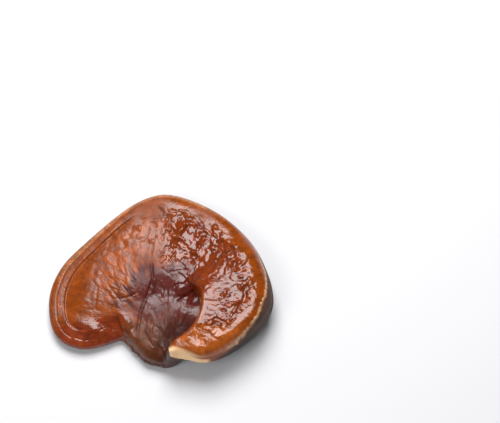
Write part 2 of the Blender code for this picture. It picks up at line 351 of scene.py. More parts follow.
# Regions by the places on the margin that they run between, and by how far they fade outside these.
LOBE_PLACES = (21.0, 29.0, 0.5)
LOBE_END_PLACES = (0.0, 1.0, 1.5)
LOBE_WALL_PLACES = (20.8, 28.5, 0.6)
LOBE_LEFT_PLACES = (21.0, 24.0, 0.8)
LOBE_TIP_PLACES = (22.0, 25.0, 1.0)
YOUNG_PLACES = (21.5, 26.0, 1.5)
FAR_RIGHT_PLACES = (2.0, 5.0, 1.0)
FAR_RIM_PLACES = (4.0, 8.6, 1.2)
BEAD_PLACES = (7.2, 13.2, 0.8)
BULGE_PLACES = (11.5, 15.5, 0.6)
BULGE_EDGE_PLACES = (12.0, 15.5, 0.6)
STEM_EDGE_PLACES = (15.4, 21.7, 0.3)
TORN_PLACES = (16.3, 18.8, 0.5)
TORN_DARK_PLACES = (16.6, 18.6, 0.4)
LIP_SHADOW_PLACES = (19.8, 21.6, 0.5)
LIP_PLACES = (LIP_FROM, LIP_TO, 0.3)
PORE_SHADE_PLACES = (25.2, 28.2, 0.8)

# Regions by where they start and the width over which they fade in. To the right, along x:
RIGHT_FADE = (-12.0, 18.0)
RIPE_FADE = (-14.0, 24.0)
STEM_SIDE_FADE = (-14.0, 20.0)
STEM_LEFT_FADE = (-23.0, 4.0)
HUB_RIGHT_FADE = (2.0, 5.0)
# To the left, against x:
BULGE_LEFT_FADE = (14.0, 3.0)
# Away from the camera, along y:
BULGE_FAR_FADE = (-6.0, 5.0)
# Towards the camera, against y:
STEM_NEAR_FADE = (4.0, 9.0)
HUB_NEAR_FADE = (-14.0, 5.0)
YOUNG_NEAR_FADE = (12.0, 8.0)
# Inwards from the margin:
BROKEN_FADE = (6.0, 3.0)
BROKEN_END_FADE = (16.0, 6.0)
# Outwards from the step between hub and cap:
LOBE_WALL_FADE = (2.5, 3.0)

# The rim's smooth band ends at a share of the orange band's width, and fades over a share of it and a length.
SMOOTH_SHARE = 0.6
SMOOTH_FADE = (0.5, 2.0)

# Pale line along the far rim, partly pale specks and partly a painted highlight: distance from the margin and
# half width.
PALE_SHEEN_LINE = (1.8, 1.3)

# How much less broken and how much younger the lobe's tip is, and how much painted shade darkens the facets.
TIP_CALM = 0.8
YOUNG_SHARE = 0.6
FACET_SHADE = 0.2

# The riper crust starts at a share of the orange band's width, and fades in over a length.
RIPE_FROM = 0.8
RIPE_WIDTH = 4.0

# Place on the margin, then the width of the smooth orange band inside it and of its fading.
BANDS = (
    (0.0, 9.0, 4.0),
    (3.0, 8.0, 4.0),
    (5.0, 8.5, 6.0),
    (7.0, 7.0, 8.0),
    (8.0, 6.0, 18.0),
    (10.0, 16.0, 16.0),
    (11.0, 15.0, 12.0),
    (12.0, 5.0, 5.0),
    (13.0, 1.5, 4.0),
    (14.5, 0.0, 3.0),
    (20.5, 0.0, 3.0),
    (21.5, 6.0, 4.0),
    (23.0, 5.0, 4.0),
    (24.5, 3.5, 4.0),
    (26.0, 6.0, 4.0),
    (27.5, 8.0, 4.0),
    (29.0, 9.0, 4.0),
)

# Roughness of dull and of glossy varnish, of bare flesh, of the pores and of the card, and the resin's IOR.
DULL_VARNISH = 0.45
GLOSSY_VARNISH = 0.14
BARE_FLESH = 0.7
PORE_ROUGHNESS = 0.85
CARD_ROUGHNESS = 0.9
RESIN_IOR = 1.5

# Fineness of the surface, and how much closer its rings lie at the step and at the margin.
SPAN_SEGMENTS = 20
MARGIN_SAMPLES = 40
HUB_RINGS = 46
CAP_RINGS = 84
EDGE_RINGS = 12
UNDER_RINGS = 18
HUB_CROWDING = 0.15
RING_CROWDING = 0.35


def colour(code):
    """Linear colour of an sRGB hex code."""
    parts = (int(code[i : i + 2], 16) / 255 for i in (1, 3, 5))
    linear = [part / 12.92 if part <= 0.04045 else ((part + 0.055) / 1.055) ** 2.4 for part in parts]
    return (*linear, 1.0)


def ease(value):
    """0 below 0, 1 above 1, and level at both ends between."""
    value = min(max(value, 0.0), 1.0)
    return value * value * (3 - 2 * value)


def fade_in(value, start, width):
    """0 up to the start and 1 from a width past it."""
    return ease((value - start) / width)


def settle(value):
    """0 below 0, 1 above 1, and neither sloping nor bent at both ends between."""
    value = min(max(value, 0.0), 1.0)
    return value**3 * (6 * value * value - 15 * value + 10)


def level(distance, width):
    """0 up to distance 0, then a quarter ellipse that reaches 1 at the width."""
    short = min(max(1 - distance / width, 0.0), 1.0)
    return math.sqrt(1 - short * short)


@functools.cache
def along_margin(place):
    """Margin values at a place that counts the spans from the first point, smooth through all points."""
    span = math.floor(place)
    part = place - span
    a, b, c, d = (Vector(MARGIN[(span + step) % len(MARGIN)]) for step in (-1, 0, 1, 2))
    bend = 2 * a - 5 * b + 4 * c - d + (3 * b - a - 3 * c + d) * part
    return b + 0.5 * part * (c - a + part * bend)


@functools.cache
def section(angle):
    """Step radius, hub, cap and margin heights, and rounding of the section at an angle in degrees."""
    count = len(SECTIONS)
    angle = (angle - SECTIONS[0][0]) % 360 + SECTIONS[0][0]
    index = max(i for i in range(count) if SECTIONS[i][0] <= angle)

    def key(number):
        turn, place = divmod(number, count)
        return SECTIONS[place][0] + 360 * turn, Vector(SECTIONS[place][1:])

    (a0, v0), (a1, v1), (a2, v2), (a3, v3) = (key(index + step) for step in (-1, 0, 1, 2))
    width = a2 - a1
    part = (angle - a1) / width
    slope_in = (v2 - v0) * (width / (a2 - a0))
    slope_out = (v3 - v1) * (width / (a3 - a1))
    rise = v2 - v1
    bend = 3 * rise - 2 * slope_in - slope_out + part * (slope_in + slope_out - 2 * rise)
    return v1 + part * (slope_in + part * bend)


@functools.cache
def band(place):
    """Width of the smooth orange band at a place on the margin, and of its fading."""
    place %= len(MARGIN)
    for (a, width_a, fade_a), (b, width_b, fade_b) in zip(BANDS, BANDS[1:]):
        if a <= place <= b:
            part = ease((place - a) / (b - a))
            return width_a + (width_b - width_a) * part, fade_a + (fade_b - fade_a) * part
    raise ValueError("the bands leave a place on the margin out")


def between(place, start, end, fade):
    """1 between two places on the margin, fading to 0 outside them."""
    return ease((place - start) / fade + 1) * ease((end - place) / fade + 1)


def swelling(x, y):
    """Height that the swellings and hollows add at a place."""
    height = 0.0
    for middle_x, middle_y, half_length, half_width, turn, rise in SWELLINGS:
        turn = math.radians(turn)
        along = (x - middle_x) * math.cos(turn) + (y - middle_y) * math.sin(turn)
        across = (y - middle_y) * math.cos(turn) - (x - middle_x) * math.sin(turn)
        height += rise * math.exp(-(along / half_length) ** 2 - (across / half_width) ** 2)
    return height


def creased(x, y):
    """Depth of the creases at a place, and how much of it is crease."""
    place = Vector((x, y))
    depth, share = 0.0, 0.0
    for (deep, half_width, *points), (middle, reach) in zip(CREASES, CREASE_BOUNDS):
        if (place - middle).length > reach:
            continue
        nearest, along = half_width, 0.0
        for number, (start, end) in enumerate(zip(points, points[1:])):
            start, run = Vector(start), Vector(end) - Vector(start)
            part = min(max((place - start).dot(run) / run.length_squared, 0.0), 1.0)
            aside = (place - start - run * part).length
            if aside < nearest:
                nearest, along = aside, number + part
        fade = ease(2 * along) * ease(2 * (len(points) - 1 - along))
        part = fade * (1 - nearest / half_width)
        depth += deep * part
        share = max(share, part)
    return depth, share


def waver(x, y, layer, waves):
    """Smooth noise between -1 and 1 at a place, from a layer, with its waves to a millimetre."""
    return noise.noise(Vector((x, y, layer)) * waves)


def facets(x, y):
    """Height that the leaning facets add at a place, and how much of it they take."""
    height, taken = 0.0, 0.0
    ragged = FACET_RAGGED[0] + FACET_RAGGED[1] * waver(x, y, 5, 0.4)
    for middle_x, middle_y, reach, turn, slope in FACETS:
        aside = Vector((x - middle_x, y - middle_y))
        if aside.length < ragged * reach:
            turn = math.radians(turn)
            lean = -slope * (aside.x * math.cos(turn) + aside.y * math.sin(turn))
            part = ease((ragged * reach - aside.length) / (FACET_EDGE * reach))
            height += lean * part
            taken = max(taken, part)
    return height, taken


def cushion(spot, sizes):
    """Height of the crust's cushions at a spot, cells that each lean their own way, and their seams."""
    spot = spot + noise.noise_vector(spot * WANDER_WAVES) * CUSHION_WANDER
    distances, middles = noise.voronoi(spot)
    seam = CUSHION_SEAM * (1 + SEAM_VARIES[0] * noise.noise(spot * SEAM_VARIES[1]))
    gap = (distances[1] - distances[0]) / seam
    lean = noise.cell_vector(middles[0] * CUSHION_APART) - Vector((0.5, 0.5, 0.5))
    aside = spot - middles[0]
    top = ease(gap) * (sizes.cushion_height + sizes.cushion_lean * (aside.x * lean.x + aside.y * lean.y))
    return top, 1 - ease(gap)


def ring_valley(x, y, distance):
    """Depth of the valley round the right of the cap at a place and its distance from the margin."""
    middle = RING_DISTANCE + RING_WANDER * waver(x, y, 0, 0.13)
    half_width = RING_HALF_WIDTH * (1 + RING_VARIES * waver(x, y, 9, 0.3))
    aside = min(abs(distance - middle) / half_width, 1.0)
    return RING_DEPTH * (1 - aside) * ease(RING_OPEN[0] + RING_OPEN[1] * waver(x, y, 17, 0.22))


def growth(x, y):
    """Where a place lies in the crust's growth: direction from the middle it grew from, and distance."""
    share = fade_in(x, *GROWTH_FADE)
    middle = Vector((GROWTH_MIDDLE[0] + GROWTH_SHIFT[0] * share, GROWTH_MIDDLE[1] + GROWTH_SHIFT[1] * share))
    aside = Vector((x, y)) - middle
    way = aside.normalized() if aside.length else Vector((1, 0))
    return Vector((way.x * WRINKLE_WAVES, way.y * WRINKLE_WAVES, aside.length / WRINKLE_LENGTH))


def spread(x, y):
    """0 where the growth starts, so that its lines don't meet there in a star, and 1 well outside."""
    return fade_in(growth(x, y).z * WRINKLE_LENGTH, *SPREAD_FADE)


def upper_height(x, y, reach, values):
    """Height of the upper side before the margin rolls over."""
    radius = math.hypot(x, y)
    step, foot, top, outer, width = values
    hub = HUB_HEIGHT + (foot - HUB_HEIGHT) * settle((radius - HUB_FLAT) / (step - HUB_FLAT))
    cap = top + (outer - top) * max((radius - step) / (reach - step), 0.0)
    rounding = min(width, STEP_SHARE * (reach - step))
    if cap > hub:
        height = hub + (cap - hub) * level(radius - step, rounding)
    else:
        height = cap + (hub - cap) * level(step - radius, rounding)
    return height + swelling(x, y)


def bead(place, distance):
    """Depth of the groove and the dish inside the left margin."""
    middle, depth, half_width = BEAD_GROOVE
    wander = GROOVE_WANDER[0] * noise.noise(Vector((place * GROOVE_WANDER[1], 0, 0)))
    depth *= GROOVE_VARIES[0] + noise.noise(Vector((place * GROOVE_VARIES[1], middle, 0)))
    aside = min(abs(distance - middle - wander) / half_width, 1.0)
    depth *= (1 - aside * aside) ** 2
    if distance > DISH_START:
        fall = fade_in(distance, DISH_START, DISH_FALL)
        depth += DISH_DEPTH * fall * math.exp((DISH_START - distance) / DISH_FADE)
    return depth * between(place, *BEAD_PLACES)


def leant(point):
    """The point after the lobe's tip has leant out over the stem."""
    aside = (point.xy - Vector(TIP)).length / TIP_RADIUS
    share = ease((point.z - TIP_FOOT) / TIP_RISE) * math.exp(-aside * aside)
    return point + share * Vector(TIP_LEAN).to_3d()


@functools.cache
def margin_finder():
    """Tree of the margin in plan, and the margin values of each of its points."""
    samples = MARGIN_SAMPLES * len(MARGIN)
    tree = kdtree.KDTree(samples)
    values = [along_margin(i / MARGIN_SAMPLES) for i in range(samples)]
    for i, value in enumerate(values):
        tree.insert((value[0], value[1], 0), i)
    tree.balance()
    return tree, values


def regions(x, y, radius, place, distance, step):
    """How far a place on the upper side belongs to each region of the crust."""
    at = types.SimpleNamespace(growth=growth(x, y), spread=spread(x, y))
    width, fade = band(place)
    on_cap = radius > step
    at.lobe = min(between(place, *LOBE_PLACES) + between(place, *LOBE_END_PLACES), 1.0) * on_cap
    at.smooth = 1 - fade_in(distance, SMOOTH_SHARE * width, SMOOTH_FADE[0] * width + SMOOTH_FADE[1])
    at.stem = fade_in(-y, *STEM_NEAR_FADE) * fade_in(x, *STEM_LEFT_FADE) * (1 - at.lobe)
    at.wall = (1 - fade_in(radius - step, *LOBE_WALL_FADE)) * between(place, *LOBE_WALL_PLACES) * on_cap
    at.crust = fade_in(radius, HUB_RADIUS, HUB_RADIUS) * (1 - at.smooth) * (1 - at.stem) * (1 - at.wall)
    at.right = fade_in(x, *RIGHT_FADE)
    at.tip = between(place, *LOBE_TIP_PLACES)
    at.broken = at.right * fade_in(distance, *BROKEN_FADE) * (1 - fade_in(distance, *BROKEN_END_FADE))
    at.broken *= 1 - TIP_CALM * at.tip
    at.margin = max(1 - fade_in(distance, width, fade), at.wall)
    at.ripe = fade_in(x, *RIPE_FADE) * fade_in(distance, RIPE_FROM * width, RIPE_WIDTH) * (1 - at.tip)
    at.young = YOUNG_SHARE * between(place, *YOUNG_PLACES) * fade_in(-y, *YOUNG_NEAR_FADE) * (1 - at.wall)
    aside = math.hypot((x - OLD_CRUST[0]) / OLD_CRUST[2], (y - OLD_CRUST[1]) / OLD_CRUST[3])
    start, run = OLD_CRUST_FADE
    at.hub = 1 - ease((aside - start) / run + noise.noise(at.growth * OLD_CRUST_RAGGED))
    at.hub = max(at.hub, fade_in(x, *HUB_RIGHT_FADE) * (radius < step) * fade_in(-y, *HUB_NEAR_FADE))
    at.hub *= 1 - at.lobe
    at.bulge = between(place, *BULGE_PLACES) * (1 - fade_in(y, *BULGE_FAR_FADE))
    at.bulge *= fade_in(-x, *BULGE_LEFT_FADE)
    at.patch = near(x, y, *GLOSSY_PATCH)
    at.dull = max(near(x, y, *spot) for spot in DULL_SPOTS)
    return at


def near(x, y, middle_x, middle_y, reach):
    """1 at a middle, falling to nothing at about twice its reach."""
    return math.exp(-((x - middle_x) ** 2 + (y - middle_y) ** 2) / reach**2)


def cushions(x, y, place, at, sizes):
    """Height of the cushions at a place, or of the feathers on the left, and how much of it is seam."""
    if x > SEAM_MIDDLE:
        share = (CUSHION_SHARE + CUSHION_BROKEN * at.broken) * fade_in(x, SEAM_MIDDLE, SEAM_FADE)
        share *= 1 + FAR_RIGHT_RISE * between(place, *FAR_RIGHT_PLACES)
        top, seam = cushion(Vector((x, y, 0)) / sizes.cushion_width, sizes)
        seam *= SEAM_SHARE + SEAM_BROKEN * at.broken
    else:
        share = FEATHER_SHARE * fade_in(-x, -SEAM_MIDDLE, SEAM_FADE) * at.spread
        top, seam = cushion(at.growth * FEATHERS, sizes)
        seam *= FEATHER_SEAM
    return at.crust * share * top, seam


def folds(x, y):
    """Folds of the hub and the stem at a place."""
    return sum(
        share * noise.noise(Vector((x / width, y / length, layer)))
        for share, width, length, layer in FOLDS
    )


def relief(x, y, radius, place, distance, step, sizes):
    """Height of the fine relief of the crust at a place, and its tints."""
    at = regions(x, y, radius, place, distance, step)
    height, seam = cushions(x, y, place, at, sizes)
    wrinkles = noise.noise(at.growth) + FINE_WRINKLES[0] * noise.noise(at.growth * FINE_WRINKLES[1])
    height += at.crust * at.spread * sizes.wrinkle_height * wrinkles
    bare = (1 - at.crust) * (1 - at.smooth) * (1 - at.wall)
    height += bare * sizes.fold_height * (folds(x, y) * (1 - PATCH_CALM * at.patch))
    lean, faceted = facets(x, y)
    height += lean * (1 - at.smooth)
    ring = ring_valley(x, y, distance) * at.right
    height -= ring * (1 - at.wall) * (1 - between(place, *LOBE_LEFT_PLACES))
    depth, crease = creased(x, y)
    height -= depth * sizes.crease_depth
    beads = beaded(x, y, place, -distance)
    height += BEADS_HEIGHT * beads
    lip = between(place, *LIP_PLACES) * (1 - fade_in(distance, lip_edge(place), LIP_FADE))
    bare_cap = (1 - at.hub) * (1 - at.stem)
    pale_sheen_line = math.exp(-(((distance - PALE_SHEEN_LINE[0]) / PALE_SHEEN_LINE[1]) ** 2))
    tints = {
        "margin_tint": at.margin,
        "hub_tint": at.hub,
        "stem_tint": at.stem,
        "stem_side": fade_in(x, *STEM_SIDE_FADE),
        "bulge_tint": at.bulge,
        "growing_tint": max(lip, min(BEADS_PALE * beads, BEADS_PALE)),
        # The far rim's pale line: pale specks, partly a painted highlight.
        "pale_tint": between(place, *FAR_RIM_PLACES) * pale_sheen_line,
        # Painted shade: creases, the cushions' seams and the leaning facets are darkened.
        "crease_tint": max(crease, seam * at.crust, FACET_SHADE * faceted * (1 - at.smooth)),
        "rim_tint": at.smooth,
        "ripe_tint": at.ripe,
        "young_tint": at.young,
        "olive_tint": beads_share(place) * ease(beads_line(place) - distance),
        "spread": at.spread * bare_cap,
        "gloss_tint": max(LEAST_GLOSS, at.right * bare_cap, at.bulge) - at.dull + PATCH_GLOSS * at.patch,
    }
    return height, tints


def upper_point(ring, place, edge, sizes):
    """Point of the upper side on a ring that counts out from the hub, and its tints."""
    tree, samples = margin_finder()
    reach = math.hypot(edge[0], edge[1])
    values = section(math.degrees(math.atan2(edge[1], edge[0])))
    step = values[0]
    if ring <= HUB_RINGS:
        even, crowded = ring / HUB_RINGS, math.sin(ring / HUB_RINGS * math.pi / 2)
        radius = step * ((1 - HUB_CROWDING) * even + HUB_CROWDING * crowded)
    else:
        part = (ring - HUB_RINGS) / CAP_RINGS
        part -= RING_CROWDING * math.sin(math.tau * part) / math.tau
        radius = step + (reach - step) * part
    x, y = edge[0] * radius / reach, edge[1] * radius / reach
    index, distance = tree.find((x, y, 0))[1:]
    upper_edge, roll_over = samples[index][2], samples[index][4]
    rise, tints = relief(x, y, radius, place, distance, step, sizes)
    full = upper_height(x, y, reach, values) + rise
    height = upper_edge + (full - upper_edge) * level(distance, roll_over)
    height -= bead(index / MARGIN_SAMPLES, distance)
    above = ease(height - lip_foot(place))
    tints["growing_tint"] *= above
    # Below the cream lip's foot the wall takes the stem's dark colour, a painted shadow under the lobe's tip
    # over the stem beneath.
    below = between(place, *LIP_SHADOW_PLACES) * (1 - above) * (radius > step)
    tints["stem_tint"] = max(tints["stem_tint"], below)
    return leant(Vector((x, y, height))), tints


def lip_edge(place):
    """How far in from the top of the edge the cream lip reaches, less than nothing where it stays below."""
    start, narrower = LIP_NARROWING
    return LIP_REACH - narrower * max(place - start, 0.0) / (LIP_TO - LIP_FROM)


def lip_foot(place):
    """Lowest height of the cream lip, higher at its left end."""
    start, run, power = LIP_CORNER_FALL
    return LIP_FOOT + LIP_CORNER * (1 - min(max((place - start) / run, 0.0), 1.0)) ** power


def beads_share(place):
    """1 where the line of beads runs, fading to 0 at its ends."""
    past = place + len(MARGIN) * (place < len(MARGIN) / 2)
    after, before, fade = BEADS_ENDS
    return between(past, BEADS_LINE[0][0] + after, BEADS_LINE[-1][0] - before, fade)


def beads_line(place):
    """Distance of the line of beads from the margin."""
    past = place + len(MARGIN) * (place < len(MARGIN) / 2)
    for (a, inward_a), (b, inward_b) in zip(BEADS_LINE, BEADS_LINE[1:]):
        if a <= past <= b:
            return inward_a + (inward_b - inward_a) * (past - a) / (b - a)
    return 0.0


def beaded(x, y, place, run):
    """Share of bead at a place and its run down the profile from the top of the edge."""
    middle = BEADS_WANDER * waver(x, y, 31, 0.5) - beads_line(place)
    share = beads_share(place) * math.exp(-(((run - middle) / BEADS_HALF_WIDTH) ** 2))
    return share * (BEADS_VARY[0] + BEADS_VARY[1] * waver(x, y, 0, 0.8))


def edge_point(ring, place, edge):
    """Point of the blunt edge on a ring that counts down from its upper side, and its tints."""
    x, y, upper_edge, lower_edge = edge[:4]
    part = ring / EDGE_RINGS
    run = part * (upper_edge - lower_edge)
    beads = beaded(x, y, place, run)
    torn = between(place, *TORN_PLACES) * noise.noise(Vector((x * TORN_WAVES, y * TORN_WAVES, run)))
    out = 1 + (EDGE_BULGE * math.sin(math.pi * part) + BEADS_HEIGHT * beads + TORN * torn) / math.hypot(x, y)
    point = leant(Vector((x * out, y * out, upper_edge + (lower_edge - upper_edge) * part)))
    lip = between(place, *LIP_PLACES) * ease((run + lip_edge(place)) / LIP_EDGE_FADE + 1)
    lip *= ease(point.z - lip_foot(place))
    tints = {
        "margin_tint": band(place)[0] > 0,
        "stem_tint": between(place, *STEM_EDGE_PLACES),
        "stem_side": fade_in(x, *STEM_SIDE_FADE),
        "bulge_tint": between(place, *BULGE_EDGE_PLACES),
        "olive_tint": beads_share(place) * ease(run + beads_line(place)),
        "growing_tint": max(lip, min(BEADS_PALE * beads, BEADS_PALE)),
        # The lower part of the right lobe's edge takes the pore layer's colour as painted shade.
        "pore_tint": between(place, *PORE_SHADE_PLACES) * fade_in(part, *PORE_SHADE_FADE),
        "rim_tint": 1.0,
        # The torn edge takes the creases' dark colour where it goes in and out, and more towards the bottom
        # of the edge.
        "crease_tint": ease(TORN_DARK * abs(torn) + between(place, *TORN_DARK_PLACES) * part),
    }
    return point, tints


def under_point(ring, edge):
    """Point of the underside on a ring that counts in from the edge."""
    x, y, lower_edge, roll_under = edge[0], edge[1], edge[3], edge[5]
    share = math.cos(ring / (UNDER_RINGS + 1) * math.pi / 2)
    inward = math.hypot(x, y) * (1 - share)
    return Vector((x * share, y * share, lower_edge * max(1 - inward / roll_under, 0.0) ** UNDER_POWER))


TINTS = (
    "margin_tint",
    "hub_tint",
    "stem_tint",
    "stem_side",
    "bulge_tint",
    "pale_tint",
    "olive_tint",
    "growing_tint",
    "pore_tint",
    "crease_tint",
    "rim_tint",
    "ripe_tint",
    "young_tint",
    "spread",
    "gloss_tint",
)


def mushroom_mesh(sizes):
    """A sphere whose poles become the hub's top and its underside, and its middle the blunt edge."""
    edge_start = HUB_RINGS + CAP_RINGS
    under_start = edge_start + EDGE_RINGS
    rings = under_start + UNDER_RINGS + 1
    segments = SPAN_SEGMENTS * len(MARGIN)
    noise.seed_set(WANDER_SEED)
    mesh = bmesh.new()
    bmesh.ops.create_uvsphere(mesh, u_segments=segments, v_segments=rings, radius=1)
    layers = {name: mesh.verts.layers.float.new(name) for name in TINTS}
    growth_layer = mesh.verts.layers.float_vector.new("growth")
    shaded_pores = set()
    for vertex in mesh.verts:
        ring = round(vertex.co.angle((0, 0, 1)) / math.pi * rings)
        turn = round(math.atan2(vertex.co.y, vertex.co.x) / math.tau * segments) % segments
        place = turn / SPAN_SEGMENTS
        edge = along_margin(place)
        tints = {}
        if ring < edge_start:
            point, tints = upper_point(ring, place, edge, sizes)
        elif ring <= under_start:
            point, tints = edge_point(ring - edge_start, place, edge)
        else:
            point = under_point(ring - under_start, edge)
            shaded_pores.add(vertex)
        for name, value in tints.items():
            vertex[layers[name]] = value
        vertex[growth_layer] = growth(point.x, point.y)
        vertex.co = (point + HUB) * MM
    for face in mesh.faces:
        face.smooth = True
        face.material_index = int(any(vertex in shaded_pores for vertex in face.verts))
    return mesh


def add(tree, kind, settings=None, inputs=None):
    """Adds a node with its settings, and its inputs' values or the sockets they are linked from."""
    node = tree.nodes.new(kind)
    for name, value in (settings or {}).items():
        setattr(node, name, value)
    for name, value in (inputs or {}).items():
        if isinstance(value, bpy.types.NodeSocket):
            tree.links.new(value, node.inputs[name])
        else:
            node.inputs[name].default_value = value
    return node


def new_material(name):
    """A material with only its output and its Principled shader, and that shader's node tree."""
    material = bpy.data.materials.new(name)
    material.use_nodes = True
    tree = material.node_tree
    return material, tree, tree.nodes["Principled BSDF"]


def laccate_crust(colours):
    """Reishi's varnish: a hard clear resin over red-brown to orange flesh, which mirrors the softbox."""
    material, tree, shader = new_material("laccate_crust")
    mixed, times, most = {"data_type": "RGBA"}, {"operation": "MULTIPLY"}, {"operation": "MAXIMUM"}
    tint = {name: add(tree, "ShaderNodeAttribute", {"attribute_name": name}).outputs["Fac"] for name in TINTS}
    place = add(tree, "ShaderNodeTexCoord").outputs["Object"]
    grown = add(tree, "ShaderNodeAttribute", {"attribute_name": "growth"}).outputs["Vector"]
    # Stipple of the young margin, about 0.7 mm, and the pale specks it makes at the far rim, along a line
    # that is partly a painted highlight.
    stipple = add(tree, "ShaderNodeTexNoise", None, {"Vector": place, "Scale": 1400.0, "Detail": 1.0})
    specks = add(tree, "ShaderNodeMapRange", None, {"Value": stipple.outputs["Fac"], 1: 0.4, 2: 0.6, 3: 0.2})
    pale = add(tree, "ShaderNodeMath", times, {0: specks.outputs[0], 1: tint["pale_tint"]})
    stem = {0: tint["stem_side"], 6: tuple(colours.stem), 7: tuple(colours.stem_shade)}
    stem = add(tree, "ShaderNodeMix", mixed, stem).outputs[2]
    skin = tuple(colours.cap)
    for over, share in (
        (tuple(colours.ripe), tint["ripe_tint"]),
        (tuple(colours.margin), tint["margin_tint"]),
        (tuple(colours.young), tint["young_tint"]),
        (tuple(colours.hub), tint["hub_tint"]),
        (tuple(colours.bulge), tint["bulge_tint"]),
        (stem, tint["stem_tint"]),
        (tuple(colours.olive), tint["olive_tint"]),
        (tuple(colours.pale), pale.outputs[0]),
    ):
        skin = add(tree, "ShaderNodeMix", mixed, {0: share, 6: skin, 7: over}).outputs[2]
    # Cloudy depth of colour, about 4 mm across, and streaks along the growth, about 1.5 mm wide.
    cloud = add(tree, "ShaderNodeTexNoise", None, {"Vector": place, "Scale": 240.0, "Detail": 4.0})
    streak = add(tree, "ShaderNodeTexNoise", None, {"Vector": grown, "Scale": 3.0, "Detail": 2.0})
    for pattern, low, high, share in ((cloud, 0.74, 1.14, 1.0), (streak, 0.84, 1.1, tint["spread"])):
        reach = {0: pattern.outputs["Fac"], 1: 0.35, 2: 0.65, 3: low, 4: high}
        value = add(tree, "ShaderNodeMapRange", None, reach)
        mix = {0: share, 6: skin, 7: value.outputs[0]}
        skin = add(tree, "ShaderNodeMix", mixed | {"blend_type": "MULTIPLY"}, mix).outputs[2]
    # Cream growing edge, then the pore layer's painted shade, then the painted shade of creases, seams and
    # facets.
    for over, share, full in (
        (tuple(colours.growing), tint["growing_tint"], 1.0),
        (tuple(colours.shaded_pores), tint["pore_tint"], 0.95),
        (tuple(colours.crease), tint["crease_tint"], 0.55),
    ):
        share = add(tree, "ShaderNodeMath", times, {0: share, 1: full})
        skin = add(tree, "ShaderNodeMix", mixed, {0: share.outputs[0], 6: skin, 7: over}).outputs[2]
    tree.links.new(skin, shader.inputs["Base Color"])
    # The left half's varnish is duller than the right lobe's, and the bare flesh has none.
    gloss = {"Value": tint["gloss_tint"], 3: DULL_VARNISH, 4: GLOSSY_VARNISH}
    rough = add(tree, "ShaderNodeMapRange", {"clamp": False}, gloss)
    bare = add(tree, "ShaderNodeMath", most, {0: tint["growing_tint"], 1: tint["olive_tint"]})
    bare = add(tree, "ShaderNodeMath", most, {0: bare.outputs[0], 1: tint["pore_tint"]})
    rough = add(tree, "ShaderNodeMix", None, {0: bare.outputs[0], 2: rough.outputs[0], 3: BARE_FLESH})
    tree.links.new(rough.outputs[0], shader.inputs["Roughness"])
    # Ripple of the dried varnish, 1.2 mm, fine wrinkles along the growth, 0.8 mm, and the stipple.
    ripple = add(tree, "ShaderNodeTexNoise", None, {"Vector": place, "Scale": 800.0, "Detail": 2.0})
    fine = add(tree, "ShaderNodeTexNoise", None, {"Vector": grown, "Scale": 5.0, "Detail": 1.0})
    fine = add(tree, "ShaderNodeMath", times, {0: fine.outputs["Fac"], 1: tint["spread"]})
    pimples = add(tree, "ShaderNodeMath", times, {0: stipple.outputs["Fac"], 1: tint["rim_tint"]})
    bump = add(tree, "ShaderNodeBump", None, {"Height": ripple.outputs["Fac"], "Distance": 0.00007})
    for pattern, depth in ((fine.outputs[0], 0.0001), (pimples.outputs[0], 0.0001)):
        over = {"Height": pattern, "Distance": depth, "Normal": bump.outputs[0]}
        bump = add(tree, "ShaderNodeBump", None, over)
    tree.links.new(bump.outputs[0], shader.inputs["Normal"])
    shader.inputs["IOR"].default_value = RESIN_IOR
    return material


def pore_layer(colours):
    """Pore layer under the cap: matt, painted near-black as the shade under the cap, with about 5 pore
    openings to a millimetre.
    """
    material, tree, shader = new_material("pore_layer")
    place = add(tree, "ShaderNodeTexCoord").outputs["Object"]
    # Drawn at 0.5 mm, coarser than the real pores, so that they show.
    shaded_pores = add(tree, "ShaderNodeTexVoronoi", None, {"Vector": place, "Scale": 2000.0})
    bump = add(tree, "ShaderNodeBump", None, {"Height": shaded_pores.outputs["Distance"], "Distance": 0.0001})
    tree.links.new(bump.outputs[0], shader.inputs["Normal"])
    # Mottled between the pore layer's painted shade and the darker painted shade of the creases.
    cloud = add(tree, "ShaderNodeTexNoise", None, {"Vector": place, "Scale": 150.0, "Detail": 3.0})
    inputs = {0: cloud.outputs["Fac"], 6: tuple(colours.shaded_pores), 7: tuple(colours.crease)}
    skin = add(tree, "ShaderNodeMix", {"data_type": "RGBA"}, inputs)
    tree.links.new(skin.outputs[2], shader.inputs["Base Color"])
    shader.inputs["Roughness"].default_value = PORE_ROUGHNESS
    return material


def pale_table(code):
    """Matt white card, a little uneven in tone."""
    material, tree, shader = new_material("matt_card")
    place = add(tree, "ShaderNodeTexCoord").outputs["Object"]
    cloud = add(tree, "ShaderNodeTexNoise", None, {"Vector": place, "Scale": 3.0})
    inputs = {0: cloud.outputs["Fac"], 6: code, 7: tuple(0.97 * part for part in code[:3]) + (1.0,)}
    skin = add(tree, "ShaderNodeMix", {"data_type": "RGBA"}, inputs)
    tree.links.new(skin.outputs[2], shader.inputs["Base Color"])
    shader.inputs["Roughness"].default_value = CARD_ROUGHNESS
    return material


